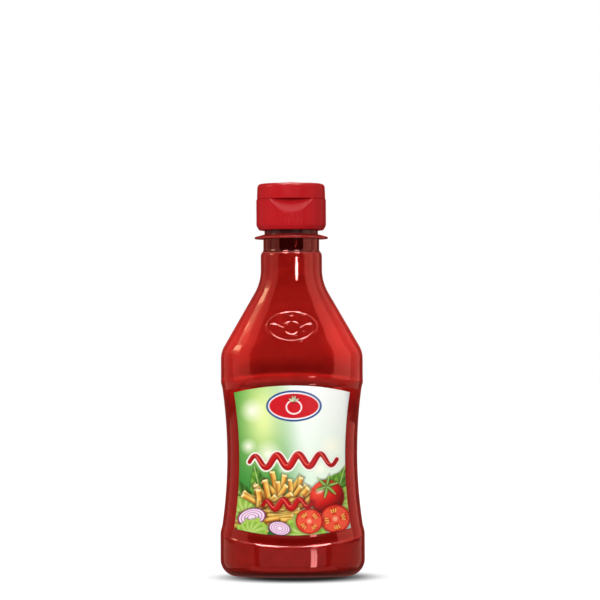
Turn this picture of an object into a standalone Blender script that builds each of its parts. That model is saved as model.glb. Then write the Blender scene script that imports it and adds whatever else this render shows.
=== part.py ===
"""Ketchup squeeze bottle with a flip-top cap, at real size, in metres, +Z up.

The front looks along -Y. The origin is under the middle of the base, on the surface that the
bottle stands on. The bottle is an oval that turns round at the neck. Its side outline is
given by level: the height at which a feature crosses the side. The panel's upper and lower
edges arch, so towards the middle of the front and back each level is moved up or down.
"""

import math

import bmesh
import bpy
from mathutils import Matrix, Vector

MM = 0.001
SIDES = 40
GAP = 0.3 * MM

# Bottle, from the base up
FOOT_HALF_WIDTH = 28.0 * MM
FOOT_HALF_DEPTH = 17.0 * MM
FOOT_HEIGHT = 8.5 * MM
BASE_HALF_WIDTH = 36.6 * MM
BODY_HALF_DEPTH = 25.1 * MM
STAND_RIM = 4.0 * MM
PUSH_UP = 2.0 * MM
LEDGE_LEVEL = 20.7 * MM
FRONT_FOOT_LEVEL = 23.4 * MM
PANEL_FOOT_LEVEL = 26.8 * MM
WAIST_LEVEL = 61.8 * MM
WAIST_HALF_WIDTH = 33.0 * MM
PANEL_HALF_WIDTH = 35.5 * MM
PANEL_HALF_DEPTH = 24.2 * MM
PANEL_TOP_LEVEL = 96.6 * MM
BEAD_LEVEL = 99.6 * MM
SHOULDER_HALF_WIDTH = 36.0 * MM
SHOULDER_LEVEL = 110.2 * MM
SHOULDER_RADIUS = 13.0 * MM
CONE_SLOPE = math.radians(30)
NECK_RADIUS = 15.54 * MM
NECK_FILLET = 24.0 * MM
CONE_FOOT_LEVEL = SHOULDER_LEVEL + SHOULDER_RADIUS * math.sin(CONE_SLOPE)
CONE_FOOT_WIDTH = SHOULDER_HALF_WIDTH - SHOULDER_RADIUS * (1 - math.cos(CONE_SLOPE))
CONE_TOP_WIDTH = NECK_RADIUS + NECK_FILLET * (1 - math.cos(CONE_SLOPE))
CONE_TOP_LEVEL = CONE_FOOT_LEVEL + (CONE_FOOT_WIDTH - CONE_TOP_WIDTH) / math.tan(CONE_SLOPE)
NECK_LEVEL = CONE_TOP_LEVEL + NECK_FILLET * math.sin(CONE_SLOPE)
SQUARENESS = 0.2  # added to the exponent 2 of a plain oval
LOWER_ARCH = -5.8 * MM
UPPER_ARCH = 3.9 * MM
ARCH_START_LEVEL = 5.0 * MM
ARCH_END_LEVEL = 125.0 * MM

# Neck finish
NECK_TOP = 162.8 * MM
THROAT_RADIUS = 14.2 * MM
THROAT_HEIGHT = 166.8 * MM
RING_RADIUS = 18.6 * MM
RING_BOTTOM = 170.9 * MM
RING_TOP = 173.6 * MM
RING_RIM = 0.8 * MM
COLLAR_RADIUS = 13.5 * MM
FINISH_RADIUS = 12.8 * MM
FINISH_BORE = 11.2 * MM
BORE_BOTTOM = 168.5 * MM
MOUTH_HEIGHT = 188.0 * MM
WALL = 0.6 * MM
NECK_WALL = 0.9 * MM

FILL_HEIGHT = 163.6 * MM

# Cap
SKIRT_RADIUS = 17.7 * MM
SKIRT_BORE = 13.8 * MM
SKIRT_BOTTOM = 175.4 * MM
SKIRT_CHAMFER = (1.4 * MM, 2.3 * MM)
PARTING_HEIGHT = 191.1 * MM
DECK_BOTTOM = 188.5 * MM
DECK_STEP_RADIUS = 15.3 * MM
DECK_STEP_HEIGHT = 1.2 * MM
NOZZLE_RADIUS = 4.2 * MM
NOZZLE_BORE = 2.3 * MM
NOZZLE_HEIGHT = 4.2 * MM
SCOOP_DEPTH = 4.0 * MM
SCOOP_HEIGHT = 6.4 * MM
LID_RADIUS = 17.4 * MM
LID_TOP_RADIUS = 17.1 * MM
LID_EDGE = 2.2 * MM
LID_WALL = 1.5 * MM
DOME_RISE = 1.0 * MM
PIN_RADIUS = 1.7 * MM
PIN_BOTTOM = 194.3 * MM
TOTAL_HEIGHT = 200.0 * MM

# Labels
LABEL_BOTTOM_LEVEL = 26.5 * MM
LABEL_TOP_LEVEL = 93.4 * MM
LABEL_TOP_DROP = 1.3 * MM
LABEL_HALF_WIDTH = 29.4 * MM
LABEL_WAIST_HALF_WIDTH = 26.65 * MM
LABEL_THICKNESS = 0.2 * MM
LABEL_COLUMNS = 12
LABEL_ROWS = 8

# Colour, roughness and transmission of each material
RED_PET = ((0.33, 0.012, 0.008), 0.12, 0.5)
KETCHUP_RED = ((0.36, 0.018, 0.010), 0.35, 0.0)
CAP_RED = ((0.50, 0.020, 0.022), 0.35, 0.0)
LABEL_GREEN = ((0.35, 0.55, 0.20), 0.4, 0.0)


def spread(start, end, count):
    """Evenly spaced values after start, the last one at end."""
    return [start + (end - start) * step / count for step in range(1, count + 1)]


def smooth_step(value, start, end):
    """0 before start and 1 after end, with a soft turn at both."""
    share = min(max((value - start) / (end - start), 0.0), 1.0)
    return share * share * (3 - 2 * share)


def mix(first, second, share):
    return first + (second - first) * share


def shoulder_half_width(level):
    """The side outline above the panel: an arc, a cone and an arc into the neck."""
    if level <= SHOULDER_LEVEL:
        return SHOULDER_HALF_WIDTH
    if level <= CONE_FOOT_LEVEL:
        rise = level - SHOULDER_LEVEL
        return SHOULDER_HALF_WIDTH - SHOULDER_RADIUS + math.sqrt(SHOULDER_RADIUS**2 - rise**2)
    if level <= CONE_TOP_LEVEL:
        return CONE_FOOT_WIDTH - (level - CONE_FOOT_LEVEL) * math.tan(CONE_SLOPE)
    fall = max(NECK_LEVEL - level, 0.0)
    return NECK_RADIUS + NECK_FILLET - math.sqrt(NECK_FILLET**2 - fall**2)


def outline(level):
    """Half the width and half the depth of the bottle at a level."""
    if level < FOOT_HEIGHT:
        rise = math.sqrt(max(1 - (1 - level / FOOT_HEIGHT) ** 2, 0.0))
        return (
            mix(FOOT_HALF_WIDTH, BASE_HALF_WIDTH, rise),
            mix(FOOT_HALF_DEPTH, BODY_HALF_DEPTH, rise),
        )
    waist = ((level - WAIST_LEVEL) / (PANEL_TOP_LEVEL - WAIST_LEVEL)) ** 2
    panel_width = mix(WAIST_HALF_WIDTH, PANEL_HALF_WIDTH, waist)
    if level < WAIST_LEVEL:
        side_step = smooth_step(level, LEDGE_LEVEL, PANEL_FOOT_LEVEL)
        front_step = smooth_step(level, LEDGE_LEVEL, FRONT_FOOT_LEVEL)
        return (
            mix(BASE_HALF_WIDTH, panel_width, side_step),
            mix(BODY_HALF_DEPTH, PANEL_HALF_DEPTH, front_step),
        )
    width = shoulder_half_width(level)
    turned = (width - NECK_RADIUS) / (SHOULDER_HALF_WIDTH - NECK_RADIUS)
    depth = mix(NECK_RADIUS, BODY_HALF_DEPTH, turned)
    share = smooth_step(level, PANEL_TOP_LEVEL, BEAD_LEVEL)
    return mix(panel_width, width, share), mix(PANEL_HALF_DEPTH, depth, share)


def arch(level):
    """How far a level is raised in the middle of the front and back."""
    if level < LEDGE_LEVEL:
        return LOWER_ARCH * smooth_step(level, ARCH_START_LEVEL, LEDGE_LEVEL)
    if level < BEAD_LEVEL:
        return mix(LOWER_ARCH, UPPER_ARCH, (level - LEDGE_LEVEL) / (BEAD_LEVEL - LEDGE_LEVEL))
    return UPPER_ARCH * (1 - smooth_step(level, BEAD_LEVEL, ARCH_END_LEVEL))


def signed_power(value, power):
    return math.copysign(abs(value) ** power, value)


def surface(turn, level):
    """A point of the bottle's outside. turn is 0 at the front's middle, 90 degrees at +X."""
    width, depth = outline(level)
    body = (width - NECK_RADIUS) / (SHOULDER_HALF_WIDTH - NECK_RADIUS)
    power = 2 / (2 + SQUARENESS * min(max(body, 0.0), 1.0))
    across = signed_power(math.sin(turn), power)
    forward = signed_power(math.cos(turn), power)
    height = level + arch(level) * math.cos(turn) ** 2
    return Vector((width * across, -depth * forward, height))


def lifted(turn, level, lift):
    """A point above the bottle's outside by lift, or inside the wall where lift is negative."""
    step_turn, step_level = math.radians(0.5), 0.05 * MM
    across = surface(turn + step_turn, level) - surface(turn - step_turn, level)
    upward = surface(turn, level + step_level) - surface(turn, level - step_level)
    return surface(turn, level) + across.cross(upward).normalized() * lift


def body_ring(level, lift=0.0):
    return [lifted(math.tau * side / SIDES, level, lift) for side in range(SIDES)]


def round_ring(radius, height):
    """A round ring whose points start at the front, as the body's rings do."""
    turns = [math.tau * side / SIDES for side in range(SIDES)]
    return [Vector((radius * math.sin(t), -radius * math.cos(t), height)) for t in turns]


def flat_ring(ring, height, share=1.0):
    """A ring laid flat at a height, and shrunk towards the axis by a share."""
    return [Vector((p.x * share, p.y * share, height)) for p in ring]


def skin(name, rings, bottom, top):
    """A closed body through rings that run along its outside. Its two ends close in a point."""
    mesh = bpy.data.meshes.new(name)
    bm = bmesh.new()
    loops = [[bm.verts.new(point) for point in ring] for ring in rings]
    for low, high in zip(loops, loops[1:]):
        for side in range(SIDES):
            after = (side + 1) % SIDES
            bm.faces.new((low[side], low[after], high[after], high[side]))
    first, last = bm.verts.new((0, 0, bottom)), bm.verts.new((0, 0, top))
    for side in range(SIDES):
        after = (side + 1) % SIDES
        bm.faces.new((first, loops[0][after], loops[0][side]))
        bm.faces.new((last, loops[-1][side], loops[-1][after]))
    bm.to_mesh(mesh)
    bm.free()
    return show(name, mesh)


def tube(name, profile):
    """A turned body with a hole: its profile is a closed loop that runs up the outside."""
    mesh = bpy.data.meshes.new(name)
    bm = bmesh.new()
    loops = [[bm.verts.new(p) for p in round_ring(*point)] for point in profile]
    for low, high in zip(loops, loops[1:] + loops[:1]):
        for side in range(SIDES):
            after = (side + 1) % SIDES
            bm.faces.new((low[side], low[after], high[after], high[side]))
    bm.to_mesh(mesh)
    bm.free()
    return show(name, mesh)


def show(name, mesh):
    piece = bpy.data.objects.new(name, mesh)
    bpy.context.scene.collection.objects.link(piece)
    mesh.shade_smooth()
    mesh.set_sharp_from_angle(angle=math.radians(35))
    return piece


def finish(piece, looks):
    colour, roughness, transmission = looks
    material = bpy.data.materials.new(piece.name)
    material.use_nodes = True
    shader = material.node_tree.nodes["Principled BSDF"]
    shader.inputs["Base Color"].default_value = (*colour, 1)
    shader.inputs["Roughness"].default_value = roughness
    shader.inputs["Metallic"].default_value = 0.0
    shader.inputs["Transmission Weight"].default_value = transmission
    piece.data.materials.append(material)


def outside_levels():
    """Levels of the bottle's outer rings, close together where the outline turns."""
    foot = [FOOT_HEIGHT * (1 - math.cos(angle)) for angle in spread(0, math.pi / 2, 5)]
    return (
        foot
        + spread(FOOT_HEIGHT, LEDGE_LEVEL, 2)
        + spread(LEDGE_LEVEL, FRONT_FOOT_LEVEL, 3)
        + spread(FRONT_FOOT_LEVEL, PANEL_FOOT_LEVEL, 2)
        + spread(PANEL_FOOT_LEVEL, PANEL_TOP_LEVEL, 7)
        + spread(PANEL_TOP_LEVEL, BEAD_LEVEL, 3)
        + spread(BEAD_LEVEL, SHOULDER_LEVEL, 3)
        + spread(SHOULDER_LEVEL, CONE_FOOT_LEVEL, 3)
        + spread(CONE_FOOT_LEVEL, CONE_TOP_LEVEL, 4)
        + spread(CONE_TOP_LEVEL, NECK_LEVEL, 4)
        + [NECK_TOP]
    )


def inside_levels():
    """Levels of the rings inside the wall and of the ketchup, which is smoother."""
    foot = [FOOT_HEIGHT * (1 - math.cos(angle)) for angle in spread(0, math.pi / 2, 4)]
    return (
        foot[1:]
        + [LEDGE_LEVEL]
        + spread(LEDGE_LEVEL, FRONT_FOOT_LEVEL, 2)
        + spread(FRONT_FOOT_LEVEL, PANEL_TOP_LEVEL, 6)
        + [BEAD_LEVEL, SHOULDER_LEVEL]
        + spread(SHOULDER_LEVEL, CONE_FOOT_LEVEL, 2)
        + spread(CONE_FOOT_LEVEL, CONE_TOP_LEVEL, 3)
        + spread(CONE_TOP_LEVEL, NECK_LEVEL, 3)
    )


def neck_finish():
    """Radius and height of the neck's outside, from the neck's top to the mouth."""
    return [
        (mix(NECK_RADIUS, THROAT_RADIUS, 0.5), mix(NECK_TOP, THROAT_HEIGHT, 0.35)),
        (THROAT_RADIUS, THROAT_HEIGHT),
        (THROAT_RADIUS, RING_BOTTOM),
        (RING_RADIUS, RING_BOTTOM + RING_RIM),
        (RING_RADIUS, RING_BOTTOM + 2 * RING_RIM),
        (COLLAR_RADIUS, RING_TOP),
        (FINISH_RADIUS, RING_TOP + RING_RIM),
        (FINISH_RADIUS, MOUTH_HEIGHT),
    ]


def make_bottle():
    sole = body_ring(0.0)
    rim_share = 1 - STAND_RIM / FOOT_HALF_WIDTH
    rings = [flat_ring(sole, PUSH_UP * 0.8, rim_share * 0.6), flat_ring(sole, 0.0, rim_share)]
    rings += [flat_ring(sole, 0.0)]
    rings += [body_ring(level) for level in outside_levels()]
    rings += [round_ring(*point) for point in neck_finish()]
    rings += [round_ring(FINISH_BORE, MOUTH_HEIGHT), round_ring(FINISH_BORE, BORE_BOTTOM)]
    rings += [round_ring(NECK_RADIUS - NECK_WALL, NECK_TOP)]
    rings += [body_ring(level, -WALL) for level in reversed(inside_levels())]
    floor = PUSH_UP + WALL
    rings += [flat_ring(sole, floor, rim_share * 0.6)]
    return skin("bottle", rings, PUSH_UP, floor)


def make_ketchup():
    sole = body_ring(0.0)
    rim_share = 1 - STAND_RIM / FOOT_HALF_WIDTH
    floor = PUSH_UP + WALL + GAP
    radius = NECK_RADIUS - NECK_WALL - GAP
    rings = [flat_ring(sole, floor, rim_share * 0.6)]
    rings += [body_ring(level, -WALL - GAP) for level in inside_levels()]
    rings += [round_ring(radius, NECK_TOP), round_ring(radius - 2 * GAP, FILL_HEIGHT)]
    return skin("ketchup", rings, floor, FILL_HEIGHT)


def make_scoop():
    """The cutter of the thumb scoop: a block tilted back from the skirt's front."""
    tilt = math.atan2(SCOOP_DEPTH, SCOOP_HEIGHT)
    size = 2 * SKIRT_RADIUS
    mesh = bpy.data.meshes.new("scoop_cutter")
    bm = bmesh.new()
    bmesh.ops.create_cube(bm, size=size)
    bm.transform(Matrix.Translation((0, -size / 2, 0)))
    bm.to_mesh(mesh)
    bm.free()
    cutter = show("scoop_cutter", mesh)
    cutter.location = (0, -SKIRT_RADIUS, PARTING_HEIGHT - SCOOP_HEIGHT)
    cutter.rotation_euler = (-tilt, 0, 0)
    cutter.hide_render = True
    cutter.display_type = "WIRE"
    return cutter


def make_cap_base():
    chamfer_in, chamfer_up = SKIRT_CHAMFER
    edge = PARTING_HEIGHT - GAP / 2
    step = edge + DECK_STEP_HEIGHT
    base = tube(
        "cap_base",
        [
            (SKIRT_RADIUS - chamfer_in, SKIRT_BOTTOM),
            (SKIRT_RADIUS, SKIRT_BOTTOM + chamfer_up),
            (SKIRT_RADIUS, mix(SKIRT_BOTTOM, edge, 0.5)),
            (SKIRT_RADIUS, edge),
            (DECK_STEP_RADIUS, edge),
            (DECK_STEP_RADIUS, step),
            (NOZZLE_RADIUS, step),
            (NOZZLE_RADIUS, edge + NOZZLE_HEIGHT),
            (NOZZLE_BORE, edge + NOZZLE_HEIGHT),
            (NOZZLE_BORE, DECK_BOTTOM),
            (SKIRT_BORE, DECK_BOTTOM),
            (SKIRT_BORE, SKIRT_BOTTOM),
        ],
    )
    cut = base.modifiers.new("thumb scoop", "BOOLEAN")
    cut.operation = "DIFFERENCE"
    cut.object = make_scoop()
    return base


def make_cap_lid():
    """The lid with its domed top, hollow below, and the pin that closes the nozzle."""
    bottom = PARTING_HEIGHT + GAP / 2
    shoulder = TOTAL_HEIGHT - DOME_RISE - LID_EDGE
    ceiling = TOTAL_HEIGHT - DOME_RISE - LID_WALL
    bore = LID_RADIUS - LID_WALL
    edge_centre = LID_TOP_RADIUS - LID_EDGE
    edge = [
        (edge_centre + LID_EDGE * math.cos(angle), shoulder + LID_EDGE * math.sin(angle))
        for angle in spread(0, math.pi / 2, 4)
    ]
    dome = [
        (edge_centre * share, TOTAL_HEIGHT - DOME_RISE * share**2)
        for share in (0.75, 0.4)
    ]
    rings = [(PIN_RADIUS, PIN_BOTTOM), (PIN_RADIUS, ceiling), (bore - LID_WALL, ceiling)]
    rings += [(bore, ceiling - LID_WALL), (bore, bottom)]
    rings += [(LID_RADIUS, bottom), (LID_TOP_RADIUS, shoulder)]
    rings += edge + dome
    return skin("cap_lid", [round_ring(*ring) for ring in rings], PIN_BOTTOM, TOTAL_HEIGHT)


def label_turn(share, level):
    """The turn at which a label's width share falls, from -1 at one edge to 1 at the other."""
    middle = (LABEL_BOTTOM_LEVEL + LABEL_TOP_LEVEL) / 2
    flare = ((level - middle) / (LABEL_TOP_LEVEL - middle)) ** 2
    reach = mix(LABEL_WAIST_HALF_WIDTH, LABEL_HALF_WIDTH, flare) * share
    width = outline(level)[0]
    return math.asin(signed_power(reach / width, (2 + SQUARENESS) / 2))


def make_label(name, facing):
    """A label's thin sheet, which follows the panel. facing is 0 for the front, pi for the back."""
    mesh = bpy.data.meshes.new(name)
    bm = bmesh.new()
    sheets = []
    for lift in (GAP, GAP + LABEL_THICKNESS):
        grid = []
        for row in range(LABEL_ROWS + 1):
            line = []
            for column in range(LABEL_COLUMNS + 1):
                share = 2 * column / LABEL_COLUMNS - 1
                top = LABEL_TOP_LEVEL - LABEL_TOP_DROP * share**2
                level = mix(LABEL_BOTTOM_LEVEL, top, row / LABEL_ROWS)
                line.append(bm.verts.new(lifted(label_turn(share, level) + facing, level, lift)))
            grid.append(line)
        sheets.append(grid)
    under, over = sheets
    for row in range(LABEL_ROWS):
        for column in range(LABEL_COLUMNS):
            corners = ((row, column), (row, column + 1), (row + 1, column + 1), (row + 1, column))
            bm.faces.new([over[r][c] for r, c in corners])
            bm.faces.new([under[r][c] for r, c in reversed(corners)])
    rim = [(0, column) for column in range(LABEL_COLUMNS)]
    rim += [(row, LABEL_COLUMNS) for row in range(LABEL_ROWS)]
    rim += [(LABEL_ROWS, column) for column in range(LABEL_COLUMNS, 0, -1)]
    rim += [(row, 0) for row in range(LABEL_ROWS, 0, -1)]
    for (r, c), (after_r, after_c) in zip(rim, rim[1:] + rim[:1]):
        bm.faces.new((under[r][c], under[after_r][after_c], over[after_r][after_c], over[r][c]))
    bm.to_mesh(mesh)
    bm.free()
    return show(name, mesh)


def main():
    for piece in list(bpy.data.objects):
        bpy.data.objects.remove(piece)
    finish(make_bottle(), RED_PET)
    finish(make_ketchup(), KETCHUP_RED)
    finish(make_cap_base(), CAP_RED)
    finish(make_cap_lid(), CAP_RED)
    finish(make_label("label_front", 0.0), LABEL_GREEN)
    finish(make_label("label_back", math.pi), LABEL_GREEN)


main()
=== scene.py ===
"""Looks of the ketchup bottle, in metres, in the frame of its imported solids.

The front faces -Y. The bottle's outline is given by level, the height at which a feature
crosses the side: towards the middle of the front and back each level is moved up or down.
"""

import math

import bpy
import numpy as np
from mathutils import Matrix, Vector


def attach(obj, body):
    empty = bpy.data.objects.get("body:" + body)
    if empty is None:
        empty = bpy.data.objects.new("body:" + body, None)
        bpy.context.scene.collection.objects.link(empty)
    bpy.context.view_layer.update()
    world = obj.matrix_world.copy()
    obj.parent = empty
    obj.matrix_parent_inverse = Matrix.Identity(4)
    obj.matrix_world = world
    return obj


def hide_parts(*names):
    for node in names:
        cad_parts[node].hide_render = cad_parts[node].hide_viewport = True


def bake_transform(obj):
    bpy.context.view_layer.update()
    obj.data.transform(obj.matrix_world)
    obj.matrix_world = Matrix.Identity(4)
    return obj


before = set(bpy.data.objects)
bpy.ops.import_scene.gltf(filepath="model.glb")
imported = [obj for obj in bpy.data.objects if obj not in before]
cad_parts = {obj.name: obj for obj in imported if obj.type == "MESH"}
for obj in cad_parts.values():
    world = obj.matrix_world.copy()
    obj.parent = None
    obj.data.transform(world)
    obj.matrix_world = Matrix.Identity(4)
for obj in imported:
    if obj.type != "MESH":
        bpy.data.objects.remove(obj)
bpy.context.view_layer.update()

MM = 0.001

# Bottle, from the base up
FOOT_HALF_WIDTH = 28.0 * MM
FOOT_HALF_DEPTH = 17.0 * MM
FOOT_HEIGHT = 8.5 * MM
FRONT_FOOT_HEIGHT = 5.5 * MM
BASE_HALF_WIDTH = 36.6 * MM
BODY_HALF_DEPTH = 25.1 * MM
STAND_RIM = 4.0 * MM
PUSH_UP = 2.0 * MM
LEDGE_LEVEL = 20.7 * MM
FRONT_FOOT_LEVEL = 22.1 * MM
PANEL_FOOT_LEVEL = 26.8 * MM
WAIST_LEVEL = 61.8 * MM
WAIST_HALF_WIDTH = 33.0 * MM
PANEL_HALF_WIDTH = 35.5 * MM
PANEL_HALF_DEPTH = 24.2 * MM
PANEL_TOP_LEVEL = 96.6 * MM
BEAD_LEVEL = 99.6 * MM
FRONT_TOP_LEVEL = 94.0 * MM
FRONT_BEAD_LEVEL = 96.2 * MM
SHOULDER_HALF_WIDTH = 36.0 * MM
SHOULDER_LEVEL = 110.2 * MM
SHOULDER_RADIUS = 13.0 * MM
CONE_SLOPE = math.radians(30)
NECK_RADIUS = 15.54 * MM
NECK_FILLET = 24.0 * MM
CONE_FOOT_LEVEL = SHOULDER_LEVEL + SHOULDER_RADIUS * math.sin(CONE_SLOPE)
CONE_FOOT_WIDTH = SHOULDER_HALF_WIDTH - SHOULDER_RADIUS * (1 - math.cos(CONE_SLOPE))
CONE_TOP_WIDTH = NECK_RADIUS + NECK_FILLET * (1 - math.cos(CONE_SLOPE))
CONE_TOP_LEVEL = CONE_FOOT_LEVEL + (CONE_FOOT_WIDTH - CONE_TOP_WIDTH) / math.tan(CONE_SLOPE)
NECK_LEVEL = CONE_TOP_LEVEL + NECK_FILLET * math.sin(CONE_SLOPE)
FRONT_ARC_LEVELS = (95.0 * MM, 119.0 * MM)
FRONT_FILLET_LEVELS = (137.0 * MM, 149.0 * MM)
SQUARENESS = 0.2
LOWER_ARCH = -5.8 * MM
UPPER_ARCH = 3.9 * MM
ARCH_START_LEVEL = 5.0 * MM
ARCH_END_LEVEL = 125.0 * MM
WALL = 0.6 * MM

# Low relief of the front and back, as level, reach and rise: the bead over the panel, and the
# hollow over the ledge. It fades towards the sides, where only a share of it is left.
BEAD = (97.5 * MM, 1.4 * MM, 0.65 * MM)
LOWER_HOLLOW = (25.2 * MM, 1.8 * MM, -0.17 * MM)
RELIEF_FADE = 0.3
SIDE_RELIEF = 0.3

# How deep the wall's colour looks, from 0 to 1: in most places, and what its bands of painted
# shade add. Then the levels of those painted shade bands, and of the painted highlights along
# the bead and the painted light on the shoulder's sides.
WALL_TINT = 0.25
PAINTED_SHADE_TINT = 0.4
LEDGE_PAINTED_SHADE = (23.8 * MM, 1.7 * MM)
BELOW_BEAD_PAINTED_SHADE = (94.4 * MM, 1.0 * MM)
ABOVE_BEAD_PAINTED_SHADE = (98.6 * MM, 100.0 * MM, 101.0 * MM, 110.0 * MM)
BEAD_PAINTED_HIGHLIGHTS = ((95.9 * MM, 0.5 * MM), (98.4 * MM, 0.5 * MM))
BEAD_MIDDLE_PAINTED_HIGHLIGHT = (97.1 * MM, 1.3 * MM)
SHOULDER_SIDES_PAINTED_LIGHT = (84.0 * MM, 93.0 * MM, 120.0 * MM, 147.0 * MM)

# Neck finish
NECK_TOP = 163.3 * MM
THROAT_RADIUS = 14.2 * MM
THROAT_FOOT = 164.9 * MM
RING_RADIUS = 18.6 * MM
RING_BOTTOM = 171.5 * MM
RING_RIM = (171.0 * MM, 172.0 * MM)
RING_TOP = 173.3 * MM
COLLAR_RADIUS = 13.5 * MM
FINISH_RADIUS = 12.8 * MM
FINISH_BORE = 11.2 * MM
BORE_BOTTOM = 168.5 * MM
MOUTH_HEIGHT = 188.0 * MM
NECK_WALL = 0.9 * MM
FILL_HEIGHT = 164.2 * MM

# Cap
SKIRT_RADIUS = 17.7 * MM
SKIRT_BORE = 13.8 * MM
SKIRT_BOTTOM = 175.4 * MM
SKIRT_CHAMFER = (1.4 * MM, 2.3 * MM)
PARTING_HEIGHT = 191.1 * MM
PARTING_GAP = 0.16 * MM
DECK_BOTTOM = 188.5 * MM
DECK_STEP_RADIUS = 15.3 * MM
DECK_STEP_HEIGHT = 1.2 * MM
NOZZLE_RADIUS = 4.2 * MM
NOZZLE_BORE = 2.3 * MM
NOZZLE_HEIGHT = 4.2 * MM
SCOOP_DEPTH = 4.0 * MM
SCOOP_HEIGHT = 7.4 * MM
LID_RADIUS = 17.4 * MM
LID_TOP_RADIUS = 17.1 * MM
LID_EDGE = 2.2 * MM
LID_WALL = 1.5 * MM
DOME_RISE = 1.0 * MM
PIN_RADIUS = 1.7 * MM
PIN_BOTTOM = 194.3 * MM
TOTAL_HEIGHT = 200.0 * MM
RIB_PITCH = 1.4 * MM
RIB_COUNT = 9
RIB_RISE = 0.14 * MM
RIB_SPAN = (177.0 * MM, 186.0 * MM)
RIB_END = 0.5 * MM
HINGE_WIDTH = 9.0 * MM
HINGE_REACH = 1.6 * MM

# Labels
LABEL_BOTTOM_LEVEL = 26.5 * MM
LABEL_TOP_LEVEL = 93.4 * MM
LABEL_TOP_DROP = 1.3 * MM
LABEL_HALF_WIDTH = 29.4 * MM
LABEL_WAIST_HALF_WIDTH = 26.65 * MM
LABEL_LIFT = 0.12 * MM
LABEL_SINK = 0.02 * MM
LABEL_CELL = 0.25 * MM

# The print's lower and upper edge in the middle, in millimetres as all its measures
PRINT_FOOT, PRINT_TOP = 21.0, 96.6

# Relief on the shoulder: an oval ring round a tomato with two leaves
RELIEF_HEIGHT = 126.0 * MM
RELIEF_HALF_WIDTH = 12.0 * MM
RELIEF_HALF_HEIGHT = 7.2 * MM
RELIEF_RISE = 0.32 * MM
RELIEF_EDGE = (0.1, 0.85)

# Photo frame
CAMERA_DISTANCE = 2.0
EYE_HEIGHT = 95.0 * MM
AIM = Vector((4.3 * MM, 0.0, 140.0 * MM))
VIEW_WIDTH = 304.8 * MM
CAMERA_ROLL = math.radians(0.27)

# Studio: the light on matte surfaces and the one that gloss mirrors, by direction from 0 below
# to 1 above, and the lamps' tints
EVEN = ((0.3, (0.25, 0.25, 0.25)), (0.7, (0.6, 0.6, 0.6)))
SKY = (
    (0.2, (0.3, 0.1, 0.08)),
    (0.42, (0.24, 0.05, 0.04)),
    (0.5, (0.36, 0.05, 0.04)),
    (0.62, (0.5, 0.08, 0.06)),
    (0.84, (0.5, 0.10, 0.08)),
    (0.9, (2.2, 2.2, 2.2)),
)
ROSY, RED, WARM, FOOT_RED = (1, 0.5, 0.4), (1, 0.3, 0.25), (0.8, 1, 0.62), (1, 0.35, 0.3)

# A contact shadow painted on the floor, dark under the bottle and pale past it. Its stops go by
# distance from its middle once the floor is scaled so that the oval footprint is round.
FLOOR_HALF_WIDTH = 4.0
PAINTED_SHADOW_SHIFT = (-0.045, 0.11, 0)
PAINTED_SHADOW_SCALE = (17.0, 10.4, 1)
PAINTED_CONTACT_SHADOW = tuple(
    (place, (light,) * 3)
    for place, light in (
        (0.32, 0.016), (0.42, 0.05), (0.52, 0.2), (0.62, 0.5), (0.72, 0.8), (0.86, 1.0),
    )
)


# Curves
def mix(first, second, share):
    return first + (second - first) * share


def smooth_step(value, start, end):
    """0 before start and 1 after end, with a soft turn at both."""
    share = np.clip((value - start) / (end - start), 0.0, 1.0)
    return share * share * (3 - 2 * share)


def window(value, start, full, fading, end):
    """1 from full to fading and 0 outside start and end, with soft turns."""
    return smooth_step(value, start, full) * (1 - smooth_step(value, fading, end))


def bell(value, middle, reach, power=2):
    """1 at the middle and about a third at reach. A higher power makes its top flatter."""
    return np.exp(-(((value - middle) / reach) ** power))


# Outline of the bottle
def shoulder_half_width(level):
    """The side outline above the panel: an arc, a cone and an arc into the neck."""
    rise = np.clip(level - SHOULDER_LEVEL, 0, SHOULDER_RADIUS)
    turn = SHOULDER_HALF_WIDTH - SHOULDER_RADIUS + np.sqrt(SHOULDER_RADIUS**2 - rise**2)
    cone = CONE_FOOT_WIDTH - (level - CONE_FOOT_LEVEL) * math.tan(CONE_SLOPE)
    fall = np.clip(NECK_LEVEL - level, 0, NECK_FILLET)
    fillet = NECK_RADIUS + NECK_FILLET - np.sqrt(NECK_FILLET**2 - fall**2)
    return np.select([level <= CONE_FOOT_LEVEL, level <= CONE_TOP_LEVEL], [turn, cone], fillet)


def shoulder_half_depth(level):
    """The front outline above the panel: it leans in gently, with soft turns at both ends."""
    start, end = FRONT_ARC_LEVELS
    foot, top = FRONT_FILLET_LEVELS
    lean = np.clip(level, start, end) - start
    fall = np.clip(level, foot, top) - foot
    run = lean**2 / (2 * (end - start)) + np.clip(level - end, 0, foot - end)
    run = run + fall - fall**2 / (2 * (top - foot))
    whole = (end - start) / 2 + foot - end + (top - foot) / 2
    return mix(BODY_HALF_DEPTH, NECK_RADIUS, run / whole)


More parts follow.
